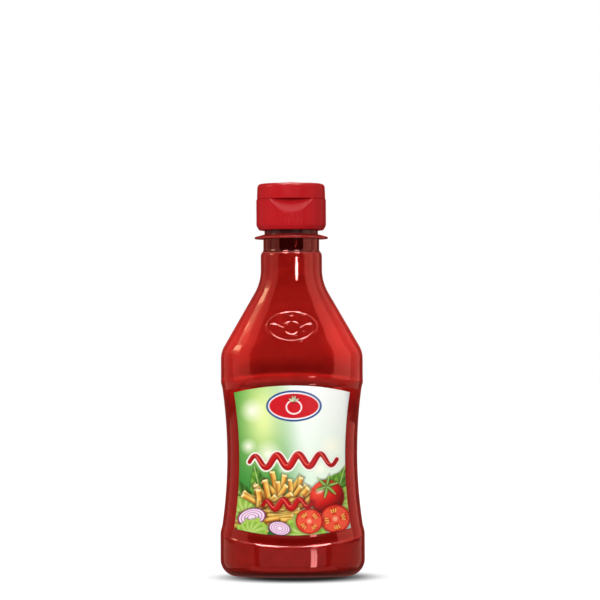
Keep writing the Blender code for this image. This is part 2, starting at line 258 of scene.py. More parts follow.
def outline(level):
    """Half the width and half the depth of the bottle at a level."""
    foot, front_foot = (
        np.sqrt(1 - np.clip(1 - level / height, 0, 1) ** 2)
        for height in (FOOT_HEIGHT, FRONT_FOOT_HEIGHT)
    )
    waist = ((level - WAIST_LEVEL) / (PANEL_TOP_LEVEL - WAIST_LEVEL)) ** 2
    panel_width = mix(WAIST_HALF_WIDTH, PANEL_HALF_WIDTH, waist)
    side_step = smooth_step(level, LEDGE_LEVEL, PANEL_FOOT_LEVEL)
    front_step = smooth_step(level, LEDGE_LEVEL, FRONT_FOOT_LEVEL)
    low_width = mix(mix(FOOT_HALF_WIDTH, BASE_HALF_WIDTH, foot), panel_width, side_step)
    body_depth = mix(FOOT_HALF_DEPTH, BODY_HALF_DEPTH, front_foot)
    low_depth = mix(body_depth, PANEL_HALF_DEPTH, front_step)
    shoulder_width = shoulder_half_width(level)
    shoulder_depth = shoulder_half_depth(level)
    high_width = mix(panel_width, shoulder_width, smooth_step(level, PANEL_TOP_LEVEL, BEAD_LEVEL))
    front_lip = smooth_step(level, FRONT_TOP_LEVEL, FRONT_BEAD_LEVEL)
    high_depth = mix(PANEL_HALF_DEPTH, shoulder_depth, front_lip)
    low = level < WAIST_LEVEL
    return np.where(low, low_width, high_width), np.where(low, low_depth, high_depth)


def arch(level):
    """How far a level is raised in the middle of the front and back."""
    low = LOWER_ARCH * smooth_step(level, ARCH_START_LEVEL, LEDGE_LEVEL)
    share = (level - LEDGE_LEVEL) / (BEAD_LEVEL - LEDGE_LEVEL)
    high = UPPER_ARCH * (1 - smooth_step(level, BEAD_LEVEL, ARCH_END_LEVEL))
    middle = mix(LOWER_ARCH, UPPER_ARCH, share)
    return np.select([level < LEDGE_LEVEL, level < BEAD_LEVEL], [low, middle], high)


def low_relief(level):
    """The bead and the hollow, as a height over the plain outline."""
    return sum(rise * bell(level, middle, reach) for middle, reach, rise in (BEAD, LOWER_HOLLOW))


def wall_tint_with_painted_light(turn, level):
    """How deep the wall's colour looks: from 0 at the shoulder's sides to 1 at the throat.

    Painted shade deepens it in bands round the bead and over the ledge, at the front. Painted
    highlights pale it along the bead, and painted light pales the shoulder's sides.
    """
    # Painted shade in bands at the front, painted highlights along the bead, painted light at the
    # sides
    bands = [bell(level, *LEDGE_PAINTED_SHADE), bell(level, *BELOW_BEAD_PAINTED_SHADE), window(level, *ABOVE_BEAD_PAINTED_SHADE)]
    deep = np.maximum.reduce(bands) * np.cos(turn) ** 2
    rims = (bell(level, *rim) for rim in BEAD_PAINTED_HIGHLIGHTS)
    bead = np.maximum.reduce([*rims, 0.45 * bell(level, *BEAD_MIDDLE_PAINTED_HIGHLIGHT, power=4)])
    sides = smooth_step(abs(np.sin(turn)), 0.35, 0.75) * window(level, *SHOULDER_SIDES_PAINTED_LIGHT)
    return WALL_TINT + PAINTED_SHADE_TINT * deep - WALL_TINT * np.maximum(bead, sides)


def signed_power(value, power):
    return np.sign(value) * np.abs(value) ** power


def surface(turn, level):
    """Points of the bottle's outside. turn is 0 at the front's middle, 90 degrees at +X."""
    width, depth = outline(level)
    body = np.clip((width - NECK_RADIUS) / (SHOULDER_HALF_WIDTH - NECK_RADIUS), 0, 1)
    power = 2 / (2 + SQUARENESS * body)
    facing = np.cos(turn) ** 2
    relief = low_relief(level)
    width, depth = width + relief * SIDE_RELIEF, depth + relief * facing**RELIEF_FADE
    x = width * signed_power(np.sin(turn), power)
    y = -depth * signed_power(np.cos(turn), power)
    z = level + arch(level) * facing
    return np.stack(np.broadcast_arrays(x, y, z), axis=-1)


def normals(turn, level):
    step_turn, step_level = math.radians(0.2), 0.02 * MM
    across = surface(turn + step_turn, level) - surface(turn - step_turn, level)
    upward = surface(turn, level + step_level) - surface(turn, level - step_level)
    normal = np.cross(across, upward)
    return normal / np.linalg.norm(normal, axis=-1, keepdims=True)


def lifted(turn, level, lift):
    """Points above the bottle's outside by lift, or inside the wall where lift is negative."""
    return surface(turn, level) + normals(turn, level) * lift


def spread(start, end, spacing):
    """Evenly spaced values from start up to end, without end."""
    count = max(int(math.ceil((end - start) / spacing)), 1)
    return np.linspace(start, end, count, endpoint=False)


# Meshes
def grid_mesh(name, points, wrap_rows=False, wrap_columns=True, first=None, last=None):
    """A mesh through rows of points that run up the outside. first and last close its ends."""
    rows, columns = points.shape[:2]
    index = np.arange(rows * columns).reshape(rows, columns)
    low = index if wrap_rows else index[:-1]
    high = np.roll(index, -1, axis=0) if wrap_rows else index[1:]
    if wrap_columns:
        low, high = (np.concatenate([part, part[:, :1]], axis=1) for part in (low, high))
    quads = np.stack([low[:, :-1], low[:, 1:], high[:, 1:], high[:, :-1]], axis=-1)
    faces = quads.reshape(-1, 4).tolist()
    vertices = points.reshape(-1, 3).tolist()
    for end, ring, outward in ((first, index[0], False), (last, index[-1], True)):
        if end is not None:
            pole = len(vertices)
            vertices.append(end)
            after = np.roll(ring, -1)
            pairs = zip(ring, after) if outward else zip(after, ring)
            faces += [(pole, int(one), int(other)) for one, other in pairs]
    mesh = bpy.data.meshes.new(name)
    mesh.from_pydata(vertices, [], faces)
    mesh.validate()
    piece = bpy.data.objects.new(name, mesh)
    bpy.context.scene.collection.objects.link(piece)
    mesh.shade_smooth()
    return piece


def rounded(corners, steps=6):
    """A profile with its corners turned into arcs. A corner is radius, height, rounding."""
    points = []
    for before, corner, after in zip(corners[:-2], corners[1:-1], corners[2:]):
        here = np.array(corner[:2])
        legs = [np.array(end[:2]) - here for end in (before, after)]
        ends = [here + leg * min(corner[2] / np.linalg.norm(leg), 0.5) for leg in legs]
        for share in np.linspace(0, 1, steps if corner[2] else 1):
            points.append(mix(mix(ends[0], here, share), mix(here, ends[1], share), share))
    return np.array([corners[0][:2], *points, corners[-1][:2]])


def subdivided(profile, spacing):
    """The profile with more points on its long stretches."""
    parts = []
    for start, end in zip(profile[:-1], profile[1:]):
        shares = spread(0, 1, spacing / max(np.linalg.norm(end - start), spacing))
        parts.append(mix(start, end, shares[:, None]))
    return np.concatenate([*parts, profile[-1:]])


def turned(profile, turns):
    """Points of a profile of radius and height, turned round the axis."""
    radius, height = profile[:, :1], profile[:, 1:]
    x, y = radius * np.sin(turns), -radius * np.cos(turns)
    return np.stack([x, y, np.broadcast_to(height, x.shape)], axis=-1)


def close_turns(reach, fine, coarse):
    """Turns round the axis, spaced finely within reach of the front's middle."""
    front = spread(-reach, reach, fine)
    return np.concatenate([front, spread(reach, math.tau - reach, coarse)])


def relief_height(x, z):
    """The moulded relief on the shoulder, as a height at a place seen from the front."""
    x, z = x / MM, (z - RELIEF_HEIGHT) / MM
    half_width, half_height = RELIEF_HALF_WIDTH / MM, RELIEF_HALF_HEIGHT / MM
    ring = abs(np.hypot(x / half_width, z / half_height) - 1) * half_height
    fruit = abs(np.hypot(x / 1.15, z + 0.9) - 3.3)
    stalk = np.maximum(abs(x) - 0.3, abs(z - 3.9) - 1.3)
    leaves = []
    for side in (-1, 1):
        along, up = side * x - 7.4, z + 0.3 - 0.3 * (side * x - 7.4)
        leaves.append((np.hypot(along / 2.5, up / 1.1) - 1) * 1.1)
    nearest = np.minimum.reduce([ring, fruit, stalk, *leaves])
    return RELIEF_RISE * (1 - smooth_step(nearest, *RELIEF_EDGE))


def make_bottle():
    """The hollow bottle: the outside with its relief, the neck finish, and the inside."""
    turns = close_turns(math.radians(33), math.radians(0.75), math.radians(2.4))
    relief_low = RELIEF_HEIGHT - RELIEF_HALF_HEIGHT - MM
    relief_high = RELIEF_HEIGHT + RELIEF_HALF_HEIGHT + MM
    levels = np.concatenate([
        FOOT_HEIGHT * (1 - np.cos(spread(0, math.pi / 2, math.radians(9)))),
        spread(FOOT_HEIGHT, LEDGE_LEVEL - MM, 1.2 * MM),
        spread(LEDGE_LEVEL - MM, PANEL_FOOT_LEVEL + MM, 0.3 * MM),
        spread(PANEL_FOOT_LEVEL + MM, FRONT_TOP_LEVEL - MM, 2.0 * MM),
        spread(FRONT_TOP_LEVEL - MM, SHOULDER_LEVEL, 0.35 * MM),
        spread(SHOULDER_LEVEL, relief_low, 0.8 * MM),
        spread(relief_low, relief_high, 0.25 * MM),
        spread(relief_high, NECK_LEVEL, 1.0 * MM),
        [NECK_LEVEL],
    ])[:, None]
    outside = surface(turns, levels)
    raised = relief_height(outside[..., 0], outside[..., 2]) * (outside[..., 1] < 0)
    outside = outside + normals(turns, levels) * raised[..., None]
    rim_share = 1 - STAND_RIM / FOOT_HALF_WIDTH
    sole_rings = []
    for share in np.linspace(0.1, 1, 8):
        ring = outside[0] * (share * rim_share, share * rim_share, 0)
        ring[:, 2] = PUSH_UP * (1 - share**4)
        sole_rings.append(ring)
    finish = rounded([
        (NECK_RADIUS, NECK_LEVEL, 0),
        (NECK_RADIUS, NECK_TOP, 1.1 * MM),
        (THROAT_RADIUS, THROAT_FOOT, 1.0 * MM),
        (THROAT_RADIUS, RING_BOTTOM, 0.2 * MM),
        (COLLAR_RADIUS, RING_TOP, 0.2 * MM),
        (COLLAR_RADIUS, RING_TOP + 4 * MM, 0.3 * MM),
        (FINISH_RADIUS, RING_TOP + 5 * MM, 0.3 * MM),
        (FINISH_RADIUS, MOUTH_HEIGHT, 0.3 * MM),
        (FINISH_BORE, MOUTH_HEIGHT, 0.3 * MM),
        (FINISH_BORE, BORE_BOTTOM, 2.0 * MM),
        (NECK_RADIUS - NECK_WALL, NECK_TOP, 2.0 * MM),
        (NECK_RADIUS - NECK_WALL, NECK_LEVEL + MM, 0),
    ])
    neck = turned(subdivided(finish, 1.0 * MM)[1:], turns)
    inside_levels = levels[::2][::-1]
    inside_levels = inside_levels[inside_levels[:, 0] > 1.2 * MM]
    inside = lifted(turns, inside_levels, -WALL)
    floor = PUSH_UP + WALL
    inside[..., 2] = np.maximum(inside[..., 2], floor)
    points = np.concatenate([np.stack(sole_rings), outside, neck, inside])
    ends = {"first": (0, 0, PUSH_UP), "last": (0, 0, floor)}
    shell = grid_mesh("bottle_shell", points, **ends)
    # The 'wall' attribute: the wall's own tint, with painted shade and painted light set by level
    depth = np.full(points.shape[:2], WALL_TINT)
    first = len(sole_rings)
    neck_first = first + len(levels)
    depth[first:neck_first] = wall_tint_with_painted_light(turns, levels)
    # Painted shade: the throat and the neck finish above it go near-black
    throat = smooth_step(neck[..., 2], NECK_TOP, THROAT_FOOT)
    depth[neck_first : neck_first + len(neck)] = mix(WALL_TINT, 1, throat)
    depth = np.concatenate([depth.ravel(), [WALL_TINT] * len(ends)])
    paint = shell.data.color_attributes.new("wall", "FLOAT_COLOR", "POINT")
    paint.data.foreach_set("color", np.repeat(depth, 4).astype(np.float32))
    return shell


def make_ring():
    """The neck's support ring and the collar over it, with their root in the neck's wall.

    Its material paints the collar near-black as shade under the cap.
    """
    root = THROAT_RADIUS - 0.6 * MM
    collar_root, collar_top = COLLAR_RADIUS - 0.4 * MM, SKIRT_BOTTOM + 1.5 * MM
    profile = rounded([
        (root, RING_TOP - MM, 0),
        (root, RING_BOTTOM - 0.6 * MM, 0.1 * MM),
        (THROAT_RADIUS, RING_BOTTOM - 0.4 * MM, 0.3 * MM),
        (RING_RADIUS - MM, RING_RIM[0] + 0.1 * MM, 1.0 * MM),
        (RING_RADIUS, RING_RIM[0], 0.3 * MM),
        (RING_RADIUS, RING_RIM[1], 0.3 * MM),
        (COLLAR_RADIUS + 1.5 * MM, RING_TOP - 0.3 * MM, 1.0 * MM),
        (COLLAR_RADIUS + 0.1 * MM, RING_TOP, 0.2 * MM),
        (COLLAR_RADIUS + 0.1 * MM, collar_top, 0.1 * MM),
        (collar_root, collar_top, 0.1 * MM),
        (collar_root, RING_TOP - MM, 0.1 * MM),
        (root, RING_TOP - MM, 0),
    ])
    turns = spread(0, math.tau, math.radians(2))
    return grid_mesh("neck_ring", turned(profile[:-1], turns), wrap_rows=True)


def make_ketchup():
    """The sauce, whose outside lies half-way into the wall, with its level where it wets it."""
    turns = spread(0, math.tau, math.radians(3))
    levels = np.concatenate([
        FOOT_HEIGHT * (1 - np.cos(spread(math.radians(30), math.pi / 2, math.radians(10)))),
        spread(FOOT_HEIGHT, NECK_LEVEL, 0.5 * MM),
    ])[:, None]
    body = lifted(turns, levels, -WALL / 2)
    floor = PUSH_UP + WALL / 2
    body[..., 2] = np.maximum(body[..., 2], floor)
    wall_radius = NECK_RADIUS - NECK_WALL / 2
    top = rounded([
        (wall_radius, NECK_LEVEL, 0),
        (wall_radius, FILL_HEIGHT, 0.2 * MM),
        (wall_radius - 0.8 * MM, FILL_HEIGHT - 0.8 * MM, 0.6 * MM),
        (wall_radius - 4 * MM, FILL_HEIGHT - 1.0 * MM, 0),
    ])
    points = np.concatenate([body, turned(subdivided(top, 1.0 * MM), turns)])
    ends = {"first": (0, 0, floor), "last": (0, 0, FILL_HEIGHT - 1.0 * MM)}
    return grid_mesh("ketchup_fill", points, **ends)


def scooped(points):
    """The cap's points, cut back by the thumb scoop's slanted face and raised by its ribs."""
    radius = np.hypot(points[..., 0], points[..., 1])
    facing = np.clip(-points[..., 1] / np.maximum(radius, MM), 0.05, 1)
    rise = points[..., 2] - (PARTING_HEIGHT - SCOOP_HEIGHT)
    face = (SKIRT_RADIUS - rise * SCOOP_DEPTH / SCOOP_HEIGHT) / facing
    soft = 0.12 * MM
    nearer = np.minimum(radius, face)
    cut = nearer - soft * np.log1p(np.exp(-abs(radius - face) / soft))
    across = points[..., 0] / RIB_PITCH
    ribbed = abs(across) < RIB_COUNT / 2
    low, high = RIB_SPAN
    shown = window(points[..., 2], low, low + RIB_END, high - RIB_END, high)
    outer = (radius > SKIRT_RADIUS - 0.05 * MM) & (points[..., 1] < 0)
    clear = smooth_step(face - radius, 0.1 * MM, 0.4 * MM)
    rib = RIB_RISE * np.cos(across * math.pi) ** 2 * ribbed * shown * outer * clear
    share = (cut + rib) / radius
    return points * np.stack([share, share, np.ones_like(share)], axis=-1)


def make_cap_base():
    """The cap's skirt and deck with its nozzle, as one turned loop with the scoop cut in."""
    turns = close_turns(math.radians(48), math.radians(0.6), math.radians(3))
    chamfer_in, chamfer_up = SKIRT_CHAMFER
    edge = PARTING_HEIGHT - PARTING_GAP / 2
    step = edge + DECK_STEP_HEIGHT
    nozzle_top = edge + NOZZLE_HEIGHT
    outer = rounded([
        (SKIRT_BORE, SKIRT_BOTTOM + 2 * MM, 0),
        (SKIRT_BORE, SKIRT_BOTTOM, 0.3 * MM),
        (SKIRT_RADIUS - chamfer_in, SKIRT_BOTTOM, 0.5 * MM),
        (SKIRT_RADIUS, SKIRT_BOTTOM + chamfer_up, 0.9 * MM),
        (SKIRT_RADIUS, edge, 0.25 * MM),
        (DECK_STEP_RADIUS, edge, 0.2 * MM),
        (DECK_STEP_RADIUS, step, 0.3 * MM),
        (NOZZLE_RADIUS + 1.5 * MM, step, 1.5 * MM),
        (NOZZLE_RADIUS, step + 1.2 * MM, 0.4 * MM),
        (NOZZLE_RADIUS * 0.86, nozzle_top, 0.5 * MM),
        (NOZZLE_BORE, nozzle_top, 0.3 * MM),
        (NOZZLE_BORE, DECK_BOTTOM, 0.2 * MM),
        (SKIRT_BORE, DECK_BOTTOM, 0.3 * MM),
        (SKIRT_BORE, SKIRT_BOTTOM + 2 * MM, 0),
    ])
    points = scooped(turned(subdivided(outer, 0.3 * MM)[:-1], turns))
    return grid_mesh("cap_base_shell", points, wrap_rows=True)


def make_cap_lid():
    """The flip lid: rounded edge, shallow dome, hollow below with the pin for the nozzle."""
    turns = spread(0, math.tau, math.radians(2))
    bottom = PARTING_HEIGHT + PARTING_GAP / 2
    ceiling = TOTAL_HEIGHT - DOME_RISE - LID_WALL
    bore = LID_RADIUS - LID_WALL
    top = TOTAL_HEIGHT - DOME_RISE
    profile = rounded([
        (0.5 * MM, PIN_BOTTOM, 0),
        (PIN_RADIUS, PIN_BOTTOM, 0.4 * MM),
        (PIN_RADIUS, ceiling, 0.5 * MM),
        (bore, ceiling, 1.2 * MM),
        (bore, bottom, 0.2 * MM),
        (LID_RADIUS, bottom, 0.25 * MM),
        (LID_TOP_RADIUS, top, LID_EDGE),
        (LID_TOP_RADIUS - LID_EDGE * 2, top + 0.1 * MM, LID_EDGE),
        (0.5 * MM, TOTAL_HEIGHT, 0),
    ], steps=9)
    points = turned(subdivided(profile, 0.7 * MM), turns)
    ends = {"first": (0, 0, PIN_BOTTOM), "last": (0, 0, TOTAL_HEIGHT)}
    return grid_mesh("cap_lid_shell", points, **ends)


def make_hinge():
    """The film hinge at the back: a web over the parting line, thinnest where it bends."""
    heights = np.linspace(PARTING_HEIGHT - HINGE_REACH, PARTING_HEIGHT + HINGE_REACH, 17)[:, None]
    across = np.linspace(-HINGE_WIDTH / 2, HINGE_WIDTH / 2, 13)
    thick = 0.12 * MM + 0.16 * MM * np.abs(heights - PARTING_HEIGHT) / HINGE_REACH
    depth = np.sqrt((SKIRT_RADIUS - 0.05 * MM) ** 2 - across**2)
    under, over = (
        np.stack(np.broadcast_arrays(across, depth + rise, heights), axis=-1)
        for rise in (np.full_like(heights, -0.3 * MM), thick)
    )
    points = np.concatenate([under, over[:, ::-1]], axis=1)
    return grid_mesh("hinge_web", points[:, ::-1])


def label_grid(facing):
    """Turns and levels of a label's points, and their places in its print, in millimetres."""
    middle = (LABEL_BOTTOM_LEVEL + LABEL_TOP_LEVEL) / 2
    columns = int(2 * LABEL_HALF_WIDTH / LABEL_CELL) + 1
    rows = int((LABEL_TOP_LEVEL - LABEL_BOTTOM_LEVEL) / LABEL_CELL) + 1
    share = np.linspace(-1, 1, columns)[None, :]
    climb = np.linspace(0, 1, rows)[:, None]
    level = mix(LABEL_BOTTOM_LEVEL, LABEL_TOP_LEVEL - LABEL_TOP_DROP * share**2, climb)
    flare = ((level - middle) / (LABEL_TOP_LEVEL - middle)) ** 2
    reach = mix(LABEL_WAIST_HALF_WIDTH, LABEL_HALF_WIDTH, flare) * share
    turn = np.arcsin(signed_power(reach / outline(level)[0], (2 + SQUARENESS) / 2))
    return turn + facing, level, reach


def make_label(name, facing, painter):
    """A label's printed film, with its cut edge turned down onto the bottle."""
    turn, level, reach = label_grid(facing)
    sheet = lifted(turn, level, LABEL_LIFT)
    places = np.stack([reach, sheet[..., 2]], axis=-1) / MM
    cut_edge = lifted(turn, level, -LABEL_SINK)
    margin = ((1, 1), (1, 1), (0, 0))
    points, places = (np.pad(part, margin, mode="edge") for part in (cut_edge, places))
    points[1:-1, 1:-1] = sheet
    piece = grid_mesh(name, points, wrap_columns=False)
    colours = painter(places[..., 0].ravel(), places[..., 1].ravel())
    paint = piece.data.color_attributes.new("print", "FLOAT_COLOR", "POINT")
    values = np.concatenate([linear(colours), np.ones((len(colours), 1))], axis=1)
    paint.data.foreach_set("color", values.astype(np.float32).ravel())
    return piece


# Print
def linear(colour):
    """Display colours from 0 to 255 as scene light."""
    colour = np.clip(np.asarray(colour, float) / 255, 0, 1)
    return np.where(colour <= 0.04045, colour / 12.92, ((colour + 0.055) / 1.055) ** 2.4)


class Print:
    """A print painted in layers at places x, y in millimetres. Colours are from 0 to 255."""

    def __init__(self, x, y):
        self.x, self.y = x, y
        self.colour = np.zeros((len(x), 3))

    def fill(self, cover, colour):
        self.colour += (np.asarray(colour, float) - self.colour) * np.clip(cover, 0, 1)[:, None]

    def shape(self, distance, colour, edge=0.3):
        """Fills where distance is negative, with a soft rim as wide as edge."""
        self.fill(0.5 - distance / edge, colour)

    def local(self, x, y, turn=0.0):
        """Places as seen from a point, turned by degrees."""
        angle = math.radians(turn)
        dx, dy = self.x - x, self.y - y
        along = dx * math.cos(angle) + dy * math.sin(angle)
        return along, dy * math.cos(angle) - dx * math.sin(angle)

    def oval(self, x, y, half_width, half_height, turn=0.0):
        along, up = self.local(x, y, turn)
        size = min(half_width, half_height)
        return (np.hypot(along / half_width, up / half_height) - 1) * size

    def stroke(self, points, width):
        """The distance to a line through points, whose width may vary along it."""
        nearest = np.full(len(self.x), 1e3)
        points = np.asarray(points, float)
        widths = np.broadcast_to(width, len(points))
        for start, end, thick in zip(points[:-1], points[1:], widths):
            leg = end - start
            share = ((self.x - start[0]) * leg[0] + (self.y - start[1]) * leg[1]) / (leg @ leg)
            share = np.clip(share, 0, 1)
            gap = np.hypot(self.x - start[0] - share * leg[0], self.y - start[1] - share * leg[1])
            nearest = np.minimum(nearest, gap - thick / 2)
        return nearest

    def shadow(self, distance, reach=2.0, strength=0.45):
        """Darkens the layers below a shape, fading out from its rim."""
        self.fill(strength * (1 - smooth_step(distance, -reach / 2, reach)), (30, 20, 10))


def painted_leaf(art, x, y, length, width, turn, dark=(38, 92, 30), light=(120, 178, 60)):
    along, up = art.local(x, y, turn)
    share = np.clip(along / length, 0, 1)
    half = width / 2 * np.sin(math.pi * share**0.8) * (1 + 0.06 * np.sin(share * 40))
    distance = np.maximum(abs(up) - half, np.maximum(-along, along - length))
    art.shadow(distance, 1.2, 0.35)
    tone = np.clip(0.55 + up / width + 0.22 * np.sin((share * 9 - abs(up) / width * 5) * 3), 0, 1)
    art.shape(distance, mix(np.array(dark), np.array(light), tone[:, None]))
    rib = np.maximum(abs(up) - 0.22, distance)
    art.shape(rib, (186, 214, 128), 0.35)


def painted_ball(art, x, y, radius, dark, middle, light):
    """A shaded ball with a window's highlight."""
    along, up = (part / radius for part in art.local(x, y))
    depth = np.sqrt(np.clip(1 - along**2 - up**2, 0, 1))
    lit = np.clip(-0.42 * along + 0.55 * up + 0.72 * depth, 0, 1)
    distance = art.oval(x, y, radius, radius)
    art.shadow(distance, 1.6)
    low = mix(np.array(dark), np.array(middle), np.clip(lit * 1.7, 0, 1)[:, None])
    art.shape(distance, mix(low, np.array(light), np.clip(lit * 2 - 1.15, 0, 1)[:, None]))
    gleam = art.oval(x - radius * 0.35, y + radius * 0.42, radius * 0.26, radius * 0.13, 35)
    art.shape(gleam, (255, 236, 222), radius * 0.16)


def painted_tomato(art, x, y, radius, tilt=0.0):
    painted_ball(art, x, y, radius, (112, 8, 10), (206, 26, 22), (246, 92, 62))
    for arm in range(6):
        angle = tilt + arm * 60
        painted_leaf(art, x, y + radius * 0.62, radius * 0.72, radius * 0.2, angle)


def painted_cut_tomato(art, x, y, radius, tilt=0.0):
    rim = art.oval(x, y, radius, radius * 0.94)
    art.shadow(rim, 1.6)
    art.shape(rim, (190, 22, 18))
    art.shape(rim + radius * 0.1, (236, 84, 58))
    along, up = art.local(x, y, tilt)
    angle, reach = np.arctan2(up, along), np.hypot(along, up) / radius
    lobes = np.cos(angle * 4)
    chamber = np.maximum(abs(reach - 0.56) - 0.24, 0.15 - lobes) * radius
    art.shape(chamber, (206, 40, 24), 0.5)
    seeds = np.maximum(abs(reach - 0.56) - 0.14, 0.1 - np.cos(angle * 24) * (lobes > 0.3))
    art.shape(seeds * radius, (242, 196, 96), 0.4)
    core = art.oval(x, y, radius * 0.16, radius * 0.16)
    art.shape(core, (250, 168, 132), 0.8)


def painted_fries(art, x, y, reach, height, count):
    """A heap of fries round a place, upright at its back and lying at its front."""
    chance = np.random.default_rng(11)
    for share in np.linspace(0, 1, count):
        across = chance.uniform(-1, 1)
        place_x = x + across * reach * mix(0.7, 1.0, share)
        place_y = y + mix(height, 0, share) - height * 0.45 * across**2 + chance.uniform(-1, 1)
        turn = mix(90 - 55 * across, 14, smooth_step(share, 0.1, 0.6)) + chance.uniform(-24, 24)
        along, up = art.local(place_x, place_y, turn)
        half, length = chance.uniform(1.05, 1.3), chance.uniform(8, 11)
        up = up + 0.012 * along**2 * chance.uniform(-1, 1)
        distance = np.maximum(abs(up) - half, abs(along) - length)
        art.shadow(distance, 1.4, 0.5)
        flip = 1 if math.cos(math.radians(turn)) > 0 else -1
        tone = 0.55 + flip * up / half * 0.4 + 0.1 * np.sin(along * 1.1 + place_x)
        low, high = np.array((214, 132, 40)), np.array((255, 216, 112))
        art.shape(distance, mix(low, high, np.clip(tone, 0, 1)[:, None]))
        side = np.maximum(abs(flip * up + half * 0.75) - half * 0.25, distance)
        art.shape(side, (186, 102, 26), 0.3)
        end = np.maximum(abs(up) - half, abs(along - length + 0.5) - 0.5)
        art.shape(end, (255, 234, 164), 0.3)


def painted_onion(art, x, y, radius, turn):
    """A slice of red onion, purple at its rim and between its rings."""
    art.shadow(art.oval(x, y, radius, radius * 0.62, turn), 1.4)
    for share in (1.0, 0.76, 0.54, 0.32):
        purple, pale = (122, 24, 92) if share == 1 else (176, 88, 154), (246, 226, 240)
        art.shape(art.oval(x, y, radius * share, radius * 0.62 * share, turn), purple)
        inner = share - (0.09 if share == 1 else 0.06)
        art.shape(art.oval(x, y, radius * inner, radius * 0.62 * inner, turn), pale)


def painted_lettuce(art, x, y, radius, turn, seed):
    """A ruffled leaf: a pale heart, veins, and a wavy bright rim."""
    along, up = art.local(x, y, turn)
    angle, reach = np.arctan2(up, along), np.hypot(along, up * 1.25)
    ruffle = 0.07 * np.sin(angle * 9 + seed) + 0.05 * np.sin(angle * 17 + seed * 2)
    distance = reach - radius * (1 + ruffle)
    art.shadow(distance, 1.6)
    share = np.clip(reach / radius, 0, 1)
    folds = 0.5 + 0.5 * np.sin(angle * 13 + seed + 5 * share)
    tone = np.clip(0.25 + 0.45 * share + 0.4 * (folds - 0.5), 0, 1)
    art.shape(distance, mix(np.array((226, 236, 150)), np.array((104, 164, 36)), tone[:, None]))
    art.fill(0.6 * (share > 0.82) * (distance < 0) * folds, (206, 232, 96))


def painted_ketchup_line(art, x, y, length, height, waves, width, rim=0.75):
    """A squeezed wave of sauce with a pale outline and a wet gleam."""
    share = np.linspace(0, 1, 26 * waves + 1)
    swing = height / 2 * np.sin(share * math.tau * waves)
    points = np.stack([x + length * share, y + swing + 1.2 * share], axis=-1)
    thick = width * (0.55 + 0.45 * np.sin(math.pi * np.clip(share * 1.08, 0, 1)))
    body = art.stroke(points, thick)
    art.shadow(body, 1.4)
    art.fill((rim > 0) * (0.5 - (body - rim) / 0.5), (255, 250, 240))
    art.shape(body, (160, 12, 16))
    art.shape(body + 0.3 * width, (208, 28, 26), 0.7)
    gleam = art.stroke(points + (-0.25 * width, 0.25 * width), width * 0.08)
    art.shape(np.maximum(gleam, body + 0.4), (250, 150, 130), 0.6)


def painted_field(art):
    """The soft green field, white at the upper right, with out-of-focus lights."""
    across = art.x / 29.0
    climb = (art.y - PRINT_FOOT) / (PRINT_TOP - PRINT_FOOT)
    green = mix(np.array((36, 126, 52)), np.array((72, 154, 50)), climb[:, None])
    glow = np.exp(-(((across + 0.5) / 0.4) ** 2) - ((climb - 0.8) / 0.34) ** 2)
    base = mix(green, np.array((240, 250, 168)), (0.95 * glow)[:, None])
    white = smooth_step(across + 0.35 * (climb - 0.5), -0.45, 0.3)
    pale = mix(np.array((190, 232, 182)), np.array((254, 255, 252)), np.sqrt(climb)[:, None])
    art.colour[:] = mix(base, pale, white[:, None])
    lights = ((-20, 84, 6), (-12, 62, 7), (-22, 66, 4), (20, 66, 6), (14, 55, 4), (-4, 55, 3.5))
    for x, y, radius in lights:
        spot = art.oval(x, y, radius, radius)
        art.fill(0.22 * (0.5 - spot / (0.25 * radius)), (255, 255, 236))
    art.fill(smooth_step(across, 0.9, 1.02) * 0.8, (216, 219, 218))


def painted_badge(art, x, y, half_width, half_height):
    """A plain oval badge with a tomato's outline."""
    for inset, colour in ((0, (30, 62, 132)), (0.9, (255, 255, 255)), (1.6, (206, 22, 34))):
        art.shape(art.oval(x, y, half_width - inset, half_height - inset), colour)
    art.shape(art.oval(x, y - 0.6, 4.2, 3.7), (255, 255, 255))
    art.shape(art.oval(x, y - 0.6, 3.5, 3.0), (206, 22, 34))
    for arm in (30, 75, 105, 150):
        painted_leaf(art, x, y + 2.2, 3.0, 1.0, arm, (255, 255, 255), (255, 255, 255))


def front_print(x, y):
    art = Print(x, y)
    painted_field(art)
    painted_badge(art, 1.0, 86.3, 14.0, 7.8)
    art.y = art.y - PRINT_FOOT
    leaves = ((-19, 12, 24, 128), (14, 18, 18, 52), (20, 12, 24, 74), (-14, 14, 22, 104))
    for place_x, place_y, length, turn in leaves:
        painted_leaf(art, place_x, place_y, length, 9, turn)
    painted_lettuce(art, 22, 15, 11, 20, 1)
    painted_lettuce(art, -23, 11, 11, 160, 4)
    painted_fries(art, -5, 8.5, 17, 15, 60)
    painted_tomato(art, 17.5, 19.5, 8.6, 18)
    painted_lettuce(art, 6, 1.5, 11, -10, 7)
    painted_onion(art, -20.5, 9.5, 7.2, 14)
    painted_cut_tomato(art, 21.5, 8.5, 7.6, 12)
    painted_cut_tomato(art, 8.5, 7.5, 6.8, 40)
    painted_lettuce(art, -21, 1, 9, 30, 2)
    painted_onion(art, -6.5, 4.0, 5.6, -12)
    painted_ketchup_line(art, -15.0, 15.5, 25.0, 4.2, 3, 3.4, 0)
    painted_ketchup_line(art, -21.5, 37.2, 44.0, 6.0, 4, 3.6)
    return art.colour


